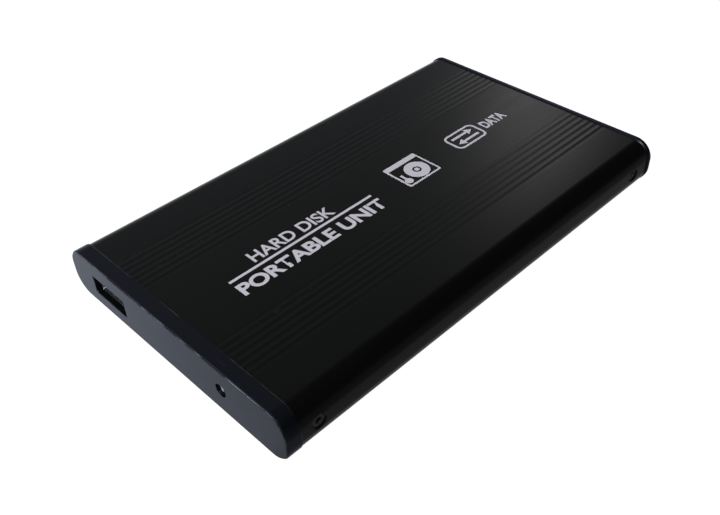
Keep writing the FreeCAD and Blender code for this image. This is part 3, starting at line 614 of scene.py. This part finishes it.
def platter_mirror():
    return surface("platter_mirror", (0.80, 0.80, 0.82), 0.04, 500.0, metallic=1.0, spread=0.03,
                   rough_spread=0.02, relief=0.0)


def turned_aluminium():
    return surface("turned_aluminium", (0.62, 0.62, 0.64), 0.26, 3200.0, metallic=1.0, spread=0.15,
                   stretch=(0.3, 0.3, 1), relief=0.25)


def magnet_nickel():
    return surface("magnet_nickel", (0.52, 0.50, 0.46), 0.20, 2200.0, metallic=1.0, spread=0.15, relief=0.15)


def copper_wire():
    return surface("copper_wire", (0.62, 0.22, 0.07), 0.30, 2400.0, metallic=1.0, spread=0.35,
                   stretch=(0.1, 0.1, 3), relief=0.9)


def frame_plastic():
    return surface("frame_plastic", (0.035, 0.032, 0.026), 0.5, 5000.0, spread=0.3, relief=0.3)


def ramp_plastic():
    return surface("ramp_plastic", (0.60, 0.57, 0.46), 0.4, 3000.0, spread=0.1, relief=0.15)


def flex_polyimide():
    return surface("flex_polyimide", (0.42, 0.12, 0.012), 0.25, 2500.0, spread=0.3, relief=0.1)


def filter_fabric():
    return surface("filter_fabric", (0.72, 0.72, 0.69), 0.95, 3500.0, spread=0.3, relief=1.0)


FINISHES = {make.__name__: make for make in (
    black_anodised, cap_anodised, white_print, black_screw, bright_screw, foam, green_board, masked_copper,
    chip_black, tinned_metal, gold_contact, socket_plastic, ceramic_parts, clear_lens, cast_aluminium,
    cover_steel,
    gasket_rubber, label_paper, label_ink, platter_mirror, turned_aluminium, magnet_nickel, copper_wire,
    frame_plastic, ramp_plastic, flex_polyimide, filter_fabric)}


def pale_floor(glow):
    """A white floor whose light, as seen in reflections, falls away behind and beside the case."""
    material = surface("pale_floor", (0.10, 0.10, 0.10), 0.9, 200.0, spread=0.02, relief=0.0,
                       sockets={"Emission Color": (1, 1, 1, 1), "Specular IOR Level": 0.0})
    tree = material.node_tree
    place = add(tree, "ShaderNodeTexCoord")
    axes = add(tree, "ShaderNodeSeparateXYZ")
    fall = add(tree, "ShaderNodeMapRange", {"From Min": -0.05, "From Max": 0.05})
    levels = add(tree, "ShaderNodeValToRGB")
    levels.color_ramp.elements[0].color = (1.0, 1.0, 1.0, 1.0)
    levels.color_ramp.elements[1].position = 0.92
    levels.color_ramp.elements[1].color = (0.10, 0.10, 0.10, 1.0)
    for position, level in ((0.45, 0.70), (0.80, 0.58)):
        levels.color_ramp.elements.new(position).color = (level, level, level, 1.0)
    seen = add(tree, "ShaderNodeLightPath")
    strength = add(tree, "ShaderNodeMix", {"B": glow}, data_type="FLOAT")
    tree.links.new(place.outputs["Object"], axes.inputs[0])
    tree.links.new(axes.outputs["X"], fall.inputs["Value"])
    tree.links.new(seen.outputs["Is Camera Ray"], strength.inputs["Factor"])
    tree.links.new(fall.outputs["Result"], levels.inputs["Fac"])
    tree.links.new(levels.outputs["Color"], strength.inputs["A"])
    tree.links.new(strength.outputs["Result"], tree.nodes["Principled BSDF"].inputs["Emission Strength"])
    return material


def finish(slot):
    """The material of a slot, built the first time it is asked for."""
    return bpy.data.materials.get(slot + "_finish") or named_finish(slot)


def named_finish(slot):
    material = FINISHES[slot]()
    material.name = slot + "_finish"
    return material


# --- operators ----------------------------------------------------------------------------------
class DRIVE_OT_node_finishes(bpy.types.Operator):
    """Give every CAD node the finish of its slot."""
    bl_idname = "drive.node_finishes"
    bl_label = "Node finishes"

    def execute(self, context):
        for name, node in frame["nodes"].items():
            node.data.materials.clear()
            node.data.materials.append(finish(slot_of(name)))
        return {"FINISHED"}


class DRIVE_OT_case(bpy.types.Operator):
    """Build the sleeve, both caps and the side screws with broken edges."""
    bl_idname = "drive.case"
    bl_label = "Case"

    def execute(self, context):
        edge = settings().case_edge
        for node in ("sleeve", "front_cap", "rear_cap"):
            machined(node, edge)
        machined("side_screws", settings().fine_edge)
        return {"FINISHED"}


def ink_sheet(piece, ink):
    """Gives a flat piece the thickness of the ink, upwards."""
    solid = piece.modifiers.new("ink", "SOLIDIFY")
    solid.thickness = ink
    solid.offset = 1.0
    apply_modifiers(piece)
    bpy.ops.object.shade_flat()


def along_case(across, along):
    """A point on the sleeve's top, from its place across and along the case."""
    return Vector((across, along, SLEEVE_HIGH.z))


def printed_words(words, start, run, height, base, ink, weight):
    """One line of capitals that reads towards the rear, fitted to a length and a height."""
    start_piece()
    bpy.ops.object.text_add()
    piece = bpy.context.object
    piece.data.body = words
    piece.data.offset = weight
    piece.data.resolution_u = 6
    bpy.ops.object.convert(target="MESH")
    piece = bpy.context.object
    xs = [vertex.co.x for vertex in piece.data.vertices]
    ys = [vertex.co.y for vertex in piece.data.vertices]
    piece.location = (-min(xs), -min(ys), 0)
    settle(piece)
    piece.scale = (run / (max(xs) - min(xs)), height / (max(ys) - min(ys)), 1)
    piece.rotation_euler.z = math.pi / 2
    piece.location = along_case(base, start)
    settle(piece)
    ink_sheet(piece, ink)
    return piece


def rounded_sheet(middle, size, corner):
    """A level sheet with rounded corners and no thickness."""
    start_piece()
    bpy.ops.mesh.primitive_plane_add(size=1, location=middle)
    piece = bpy.context.object
    piece.scale = (size[0], size[1], 1)
    settle(piece)
    pick_faces(piece, lambda face: True)
    bpy.ops.mesh.select_mode(type="VERT")
    bpy.ops.mesh.select_all(action="SELECT")
    bpy.ops.mesh.bevel(offset=corner, segments=6, affect="VERTICES")
    leave_edit()
    return piece


def printed_bar(across, along, ink):
    """A rectangle of ink with soft corners between two pairs of places."""
    size = (across[1] - across[0], along[1] - along[0])
    middle = along_case((across[0] + across[1]) / 2, (along[0] + along[1]) / 2)
    piece = rounded_sheet(middle, size, 0.12 * min(size))
    ink_sheet(piece, ink)
    return piece


def printed_ring(middle, outer, width, ink):
    """A ring of ink, or a disc where the width is the whole radius."""
    start_piece()
    bpy.ops.mesh.primitive_circle_add(vertices=72, radius=outer, fill_type="NGON", location=middle)
    piece = bpy.context.object
    settle(piece)
    if width < outer:
        pick_faces(piece, lambda face: True)
        bpy.ops.mesh.inset(thickness=width)
        bpy.ops.mesh.delete(type="FACE")
        leave_edit()
    ink_sheet(piece, ink)
    return piece


def printed_outline(middle, size, width, corner, ink):
    """A rounded rectangular frame of ink."""
    piece = rounded_sheet(middle, size, corner)
    pick_faces(piece, lambda face: True)
    bpy.ops.mesh.inset(thickness=width)
    bpy.ops.mesh.delete(type="FACE")
    leave_edit()
    ink_sheet(piece, ink)
    return piece


def printed_arrow(tip, reach, width, heading, ink):
    """A straight arrow of ink along the case; heading is 1 towards the rear and -1 back."""
    start_piece()
    bpy.ops.mesh.primitive_circle_add(vertices=3, radius=width, fill_type="NGON",
                                      location=(tip.x, tip.y - heading * width, tip.z))
    head = bpy.context.object
    if heading < 0:
        head.rotation_euler.z = math.pi
    settle(head)
    ink_sheet(head, ink)
    inner = tip.y - heading * 1.5 * width
    outer = tip.y - heading * reach
    shaft = printed_bar((tip.x - 0.28 * width, tip.x + 0.28 * width), sorted((inner, outer)), ink)
    return join([head, shaft])


class DRIVE_OT_print(bpy.types.Operator):
    """Print the two lines of words, the rule and the two marks on the sleeve."""
    bl_idname = "drive.print"
    bl_label = "Print"

    def execute(self, context):
        art = context.scene.drive_print
        white = finish("white_print")
        upper = printed_words(art.upper_words, art.upper_start, art.upper_run, art.upper_height,
                              art.upper_base, art.ink, THIN_LETTERS)
        lower = printed_words(art.lower_words, art.lower_start, art.lower_run, art.lower_height,
                              art.lower_base, art.ink, BOLD_LETTERS)
        rule = printed_bar((art.rule_middle - art.rule_width / 2, art.rule_middle + art.rule_width / 2),
                           (art.lower_start, art.lower_start + art.rule_run), art.ink)
        place_piece(upper, "upper_words", "case", white)
        place_piece(lower, "lower_words", "case", white)
        place_piece(rule, "printed_rule", "case", white)
        self.disc_mark(art, white)
        self.arrow_mark(art, white)
        return {"FINISHED"}

    def disc_mark(self, art, white):
        """A disc under an arm, in a square; pieces that overlap have their ink at different heights."""
        side = art.disc_mark_size
        middle = along_case(-0.4 * MM, art.disc_mark)
        square = printed_outline(middle, (side, side * 1.14), 0.055 * side, 0.02 * side, art.ink)
        heading = printed_bar((middle.x - 0.49 * side, middle.x - 0.33 * side),
                              (middle.y - 0.56 * side, middle.y + 0.56 * side), 1.2 * art.ink)
        centre = middle + Vector((0.08 * side, 0.10 * side, 0))
        disc = printed_ring(centre, 0.34 * side, 0.22 * side, art.ink)
        hub = printed_ring(centre, 0.07 * side, 0.07 * side, art.ink)
        pivot = centre + Vector((0.20 * side, -0.50 * side, 0))
        base = printed_ring(pivot, 0.11 * side, 0.11 * side, art.ink)
        arm = printed_bar((pivot.x - 0.30 * side, pivot.x - 0.09 * side),
                          (pivot.y - 0.035 * side, pivot.y + 0.035 * side), 1.2 * art.ink)
        place_piece(join([square, heading, disc, hub, base, arm]), "disc_mark", "case", white)

    def arrow_mark(self, art, white):
        """Two arrows that pass each other in a rounded frame, and a word."""
        width = 1.45 * MM
        reach = 7.8 * MM
        middle = along_case(-0.4 * MM, art.arrow_mark)
        outline = printed_outline(middle, (6.9 * MM, 11.2 * MM), 0.65 * MM, 1.8 * MM, art.ink)
        there = printed_arrow(middle + Vector((-1.25 * MM, reach / 2, 0)), reach, width, 1, art.ink)
        back = printed_arrow(middle + Vector((1.25 * MM, -reach / 2, 0)), reach, width, -1, art.ink)
        words = printed_words(art.mark_words, art.arrow_mark + 7.0 * MM, 8.6 * MM, 3.4 * MM,
                              1.3 * MM, art.ink, BOLD_LETTERS)
        place_piece(join([outline, there, back, words]), "arrow_mark", "case", white)


class DRIVE_OT_port(bpy.types.Operator):
    """Build the data port: shell with spring fingers, tongue and contacts."""
    bl_idname = "drive.port"
    bl_label = "Port"

    def execute(self, context):
        edge = settings().fine_edge
        machined("port_shell", edge)
        machined("port_tongue", 2 * edge)
        self.spring_fingers()
        return {"FINISHED"}

    def spring_fingers(self):
        """Four bent fingers, two pressed inwards from the top and two from the bottom."""
        low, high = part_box("port_shell")
        wall = 0.3 * MM
        fingers = []
        for across in (-3.1 * MM, 3.1 * MM):
            middle_x = (low.x + high.x) / 2 + across
            for level, inwards in ((high.z - wall, -1), (low.z + wall, 1)):
                far = level + inwards * 0.02 * MM
                finger = block((middle_x - 0.9 * MM, low.y + 0.9 * MM, min(far, far + inwards * 0.16 * MM)),
                               (middle_x + 0.9 * MM, low.y + 2.9 * MM, max(far, far + inwards * 0.16 * MM)))
                break_edges(finger, 0.05 * MM)
                fingers.append(finger)
        place_piece(join(fingers), "port_spring_fingers", "carriage", finish("tinned_metal"))


class DRIVE_OT_light(bpy.types.Operator):
    """Build the activity light's lens and legs."""
    bl_idname = "drive.light"
    bl_label = "Light"

    def execute(self, context):
        machined("activity_led", settings().fine_edge, sharp=60)
        machined("led_legs", settings().fine_edge)
        return {"FINISHED"}


# Bundles of tracks, in millimetres: start, end, how many, step.
DRIVE_TRACKS = (
    ((-5.0, -40.0), (-5.0, -24.0), 9, (0.55, 0, 0)),
    ((8.0, -40.0), (8.0, -27.5), 14, (0.62, 0, 0)),
    ((-18.0, -19.0), (-8.0, -19.0), 12, (0, 0.7, 0)),
    ((7.4, -22.0), (9.3, -22.0), 10, (0, 0.7, 0)),
    ((-9.5, -4.0), (16.0, -4.0), 8, (0, 0.6, 0)),
    ((-15.0, 3.5), (-15.0, 22.0), 10, (0.6, 0, 0)),
    ((-6.0, 8.0), (14.0, 8.0), 6, (0, 0.8, 0)),
    ((-24.5, -30.0), (-24.5, 18.0), 3, (0.7, 0, 0)))
BRIDGE_TRACKS = (
    ((-14.0, -55.6), (-4.2, -55.6), 5, (0, 0.5, 0)),
    ((-2.0, -51.2), (-2.0, -49.8), 9, (0.6, 0, 0)),
    ((10.2, -56.2), (24.0, -56.2), 4, (0, 0.5, 0)),
    ((-30.5, -51.6), (-16.0, -51.6), 3, (0, 0.5, 0)))
# Rows of pads, in millimetres: first pad, how many, step.
DRIVE_PADS = (
    ((-20.0, -37.0), 6, (2.2, 0, 0)),
    ((21.6, -4.0), 9, (0, 2.2, 0)),
    ((-3.0, 15.6), 7, (2.2, 0, 0)))
BRIDGE_PADS = (((6.0, -50.6), 3, (1.8, 0, 0)), ((-13.0, -50.8), 3, (1.8, 0, 0)))
# Rows of small parts, in millimetres: corner, size, height, how many, step.
DRIVE_CHIPS = tuple(((-18.0, -33.5 + 3.0 * row), (1.6, 0.8), 0.6, 6, (6.4, 0, 0)) for row in range(3)) + (
    ((-20.0, 6.0), (2.6, 1.6), 0.9, 5, (0, 3.4, 0)),
    ((17.5, 6.0), (1.2, 2.2), 0.7, 5, (0, 3.4, 0)))
BRIDGE_CHIPS = (
    ((-27.0, -54.2), (1.6, 0.8), 0.6, 6, (3.6, 0, 0)),
    ((12.0, -52.4), (1.0, 0.6), 0.45, 5, (3.2, 0, 0)))


class DRIVE_OT_boards(bpy.types.Operator):
    """Finish both circuit boards and lay out their tracks, leads, pads and solder."""
    bl_idname = "drive.boards"
    bl_label = "Boards"

    def execute(self, context):
        edge = settings().fine_edge
        for node in ("bridge_board", "drive_board", "drive_socket", "drive_plug", "jumper_block",
                     "jumper_pins", "board_screws", "drive_board_screws", "bridge_small_parts",
                     "drive_board_parts"):
            machined(node, edge)
        machined("bridge_crystal", 3 * edge)
        for node in ("bridge_chip", "controller_chip", "memory_chip", "motor_driver_chip"):
            machined(node, 1.5 * edge)
            self.chip_leads(node)
        self.tracks("drive_board", DRIVE_TRACKS)
        self.tracks("bridge_board", BRIDGE_TRACKS)
        self.pads("drive_board", DRIVE_PADS)
        self.pads("bridge_board", BRIDGE_PADS)
        self.solder("drive_board", DRIVE_CHIPS)
        self.solder("bridge_board", BRIDGE_CHIPS)
        return {"FINISHED"}

    def chip_leads(self, node):
        """A row of bent leads along each side of a chip."""
        low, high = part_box(node)
        pitch = 0.65 * MM
        half = 0.13 * MM
        reach = 0.7 * MM
        rise = 0.4 * (high.z - low.z)
        leads = []
        for axis in (0, 1):
            other = 1 - axis
            count = int((high[axis] - low[axis]) / pitch) - 1
            first = (low[axis] + high[axis]) / 2 - pitch * (count - 1) / 2
            for side, wall in ((-1, low[other]), (1, high[other])):
                corners = []
                for near, far, base, top in ((0, 0.55, rise - 0.08 * MM, rise),
                                             (0.4, 0.55, 0, rise), (0.4, 1.0, 0, 0.08 * MM)):
                    a, b = wall + side * near * reach, wall + side * far * reach
                    lower, upper = [0, 0, low.z + base], [0, 0, low.z + top]
                    lower[axis], upper[axis] = first - half, first + half
                    lower[other], upper[other] = min(a, b), max(a, b)
                    corners.append(block(lower, upper))
                lead = join(corners)
                step = [0, 0, 0]
                step[axis] = pitch
                leads.append(repeat(lead, count, step))
        place_piece(join(leads), node + "_leads", "carriage", finish("tinned_metal"))

    def tracks(self, board, bundles):
        """Copper tracks under the mask of one board, in bundles of equal tracks."""
        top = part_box(board)[1].z
        width = 0.16 * MM
        pieces = []
        for start, end, count, step in bundles:
            a, b = Vector((*start, 0)) * MM, Vector((*end, 0)) * MM
            middle = (a + b) / 2 + Vector((0, 0, top))
            track = rounded_sheet(middle, ((b - a).x + width, (b - a).y + width), 0.45 * width)
            ink_sheet(track, 0.02 * MM)
            pieces.append(repeat(track, count, Vector(step) * MM))
        place_piece(join(pieces), board + "_tracks", "carriage", finish("masked_copper"))

    def pads(self, board, rows):
        """Round gilt test pads on one board."""
        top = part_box(board)[1].z
        pieces = []
        for start, count, step in rows:
            pad = drum(Vector((*start, 0)) * MM + Vector((0, 0, top + 0.015 * MM)), 0.45 * MM, 0.03 * MM, 24)
            break_edges(pad, 0.01 * MM)
            pieces.append(repeat(pad, count, Vector(step) * MM))
        place_piece(join(pieces), board + "_pads", "carriage", finish("gold_contact"))

    def solder(self, board, rows):
        """Tinned ends round the small parts of one board."""
        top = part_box(board)[1].z
        pieces = []
        for corner, size, height, count, step in rows:
            axis = 0 if size[0] > size[1] else 1
            cap = 0.2 * size[axis]
            for end in (0.0, size[axis] - cap):
                low = Vector((corner[0] - 0.02, corner[1] - 0.02, 0))
                high = Vector((corner[0] + size[0] + 0.02, corner[1] + size[1] + 0.02, height + 0.02))
                low[axis] = corner[axis] + end - 0.02
                high[axis] = corner[axis] + end + cap + 0.02
                shell = block(low * MM + Vector((0, 0, top)), high * MM + Vector((0, 0, top)))
                break_edges(shell, 0.05 * MM)
                pieces.append(repeat(shell, count, Vector(step) * MM))
        place_piece(join(pieces), board + "_solder", "carriage", finish("tinned_metal"))


class DRIVE_OT_drive_shell(bpy.types.Operator):
    """Finish the drive's casting, cover, screws and label."""
    bl_idname = "drive.drive_shell"
    bl_label = "Drive shell"

    def execute(self, context):
        edge = settings().fine_edge
        machined("drive_base", 2 * edge)
        machined("drive_cover", edge)
        machined("cover_screws", edge)
        self.label_print()
        return {"FINISHED"}

    def label_print(self):
        """Plain grey panels and a bar pattern on the label, with no words."""
        low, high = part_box("drive_label")
        ink = 0.01 * MM
        bars = []
        for index, width in enumerate((0.5, 0.9, 0.4, 1.2, 0.6, 0.4, 1.0, 0.5, 0.8, 0.4, 0.6, 1.1)):
            middle = Vector((low.x + (4.3 + 1.9 * index) * MM, low.y + 8 * MM, low.z - ink))
            bars.append(rounded_sheet(middle, (width * MM, 6 * MM), 0.05 * MM))
        for index in range(4):
            middle = Vector(((low.x + high.x) / 2, low.y + (18.2 + 9.0 * index) * MM, low.z - ink))
            bars.append(rounded_sheet(middle, (high.x - low.x - 8 * MM, 0.4 * MM), 0.05 * MM))
        for bar in bars:
            ink_sheet(bar, ink)
        place_piece(join(bars), "label_panels", "carriage", finish("label_ink"))


class DRIVE_OT_mechanism(bpy.types.Operator):
    """Break the edges of the parts that turn and swing inside the drive."""
    bl_idname = "drive.mechanism"
    bl_label = "Mechanism"

    def execute(self, context):
        edge = settings().fine_edge
        for node in ("spindle_hub", "disk_clamp", "clamp_screw", "bearing_sleeve", "head_arms",
                     "pivot_cartridge", "coil_frame", "upper_yoke", "lower_yoke", "upper_magnet",
                     "lower_magnet", "head_ramp", "inertia_latch", "flex_bracket", "air_filter",
                     "rear_foam_block"):
            machined(node, edge)
        return {"FINISHED"}


# --- stage ----------------------------------------------------------------------------------------
def aim(lamp, place, target):
    lamp.location = place
    lamp.rotation_euler = (Vector(target) - Vector(place)).to_track_quat("-Z", "Y").to_euler()


def soft_light(name, place, target, size, power, tint=(1, 1, 1)):
    start_piece()
    bpy.ops.object.light_add(type="AREA")
    lamp = bpy.context.object
    lamp.name = name
    lamp.data.shape = "RECTANGLE"
    lamp.data.size, lamp.data.size_y = size
    lamp.data.energy = power
    lamp.data.color = tint
    aim(lamp, place, target)
    return lamp


class DRIVE_OT_stage(bpy.types.Operator):
    """Set the floor, the lights and the camera."""
    bl_idname = "drive.stage"
    bl_label = "Stage"

    def execute(self, context):
        stage = context.scene.drive_stage
        self.floor(stage)
        self.lights(stage)
        self.camera(context, stage)
        context.scene.view_settings.view_transform = "Standard"
        return {"FINISHED"}

    def floor(self, stage):
        start_piece()
        bpy.ops.mesh.primitive_plane_add(size=6.0, location=(0, 0, -0.05 * MM))
        floor = bpy.context.object
        settle(floor)
        floor.name = "floor"
        floor.data.materials.append(pale_floor(stage.floor_glow))

    def lights(self, stage):
        world = bpy.data.worlds.new("studio")
        world.use_nodes = True
        tree = world.node_tree
        background = tree.nodes["Background"]
        heading = add(tree, "ShaderNodeTexCoord")
        axes = add(tree, "ShaderNodeSeparateXYZ")
        seen = add(tree, "ShaderNodeLightPath")
        fall = add(tree, "ShaderNodeMapRange", {"From Min": -0.8, "From Max": -0.15, "To Min": 0.45,
                                                "To Max": 0.03})
        strength = add(tree, "ShaderNodeMix", {"B": stage.floor_glow}, data_type="FLOAT")
        tint = add(tree, "ShaderNodeMix", {"A": (0.9, 0.95, 1.0, 1.0), "B": (1.0, 1.0, 1.0, 1.0)},
                   data_type="RGBA")
        tree.links.new(heading.outputs["Generated"], axes.inputs[0])
        tree.links.new(axes.outputs["X"], fall.inputs["Value"])
        tree.links.new(fall.outputs["Result"], strength.inputs["A"])
        tree.links.new(seen.outputs["Is Camera Ray"], strength.inputs["Factor"])
        tree.links.new(seen.outputs["Is Camera Ray"], tint.inputs["Factor"])
        tree.links.new(strength.outputs["Result"], background.inputs["Strength"])
        tree.links.new(tint.outputs["Result"], background.inputs["Color"])
        bpy.context.scene.world = world
        centre = (cad_box[0] + cad_box[1]) / 2
        soft_light("key", KEY_PLACE, centre, (0.25, 0.25), stage.key_power, (0.97, 0.98, 1.0))
        soft_light("edge", EDGE_PLACE, centre, (0.5, 0.2), stage.edge_power, (0.9, 0.95, 1.0))
        soft_light("sheen", SHEEN_PLACE, centre, (0.22, 0.22), stage.sheen_power, (1.0, 0.99, 1.0))

    def camera(self, context, stage):
        around, above = stage.azimuth, stage.elevation
        back = Vector((math.sin(around) * math.cos(above), -math.cos(around) * math.cos(above),
                       math.sin(above)))
        level = (-back).cross(Vector((0, 0, 1))).normalized()
        upright = level.cross(-back)
        right = math.cos(stage.roll) * level + math.sin(stage.roll) * upright
        up = math.cos(stage.roll) * upright - math.sin(stage.roll) * level
        start_piece()
        bpy.ops.object.camera_add()
        camera = bpy.context.object
        turn = Matrix((right, up, back)).transposed().to_4x4()
        camera.matrix_world = Matrix.Translation(Vector(stage.place)) @ turn
        camera.data.lens = stage.lens
        camera.data.sensor_width = 36.0
        camera.data.clip_start = 0.005
        context.scene.camera = camera


class DRIVE_PT_sidebar(bpy.types.Panel):
    """Lists the operators in the order that builds the drive."""
    bl_label = "Hard disk drive"
    bl_idname = "DRIVE_PT_sidebar"
    bl_space_type = "VIEW_3D"
    bl_region_type = "UI"
    bl_category = "Drive"

    def draw(self, context):
        for operator in OPERATORS:
            self.layout.operator(operator.bl_idname)


SETTINGS = {"drive_finishes": DriveFinishes, "drive_print": DrivePrint, "drive_stage": DriveStage}
OPERATORS = (DRIVE_OT_node_finishes, DRIVE_OT_case, DRIVE_OT_print, DRIVE_OT_port, DRIVE_OT_light,
             DRIVE_OT_boards, DRIVE_OT_drive_shell, DRIVE_OT_mechanism, DRIVE_OT_stage)


def register():
    for kind in (*SETTINGS.values(), *OPERATORS, DRIVE_PT_sidebar):
        bpy.utils.register_class(kind)
    for name, kind in SETTINGS.items():
        setattr(bpy.types.Scene, name, PointerProperty(type=kind))


def unregister():
    for name in SETTINGS:
        delattr(bpy.types.Scene, name)
    for kind in reversed((*SETTINGS.values(), *OPERATORS, DRIVE_PT_sidebar)):
        bpy.utils.unregister_class(kind)


def main():
    """Builds everything in order."""
    register()
    for operator in OPERATORS:
        getattr(bpy.ops.drive, operator.bl_idname.split(".")[1])()


if __name__ == "__main__":
    main()
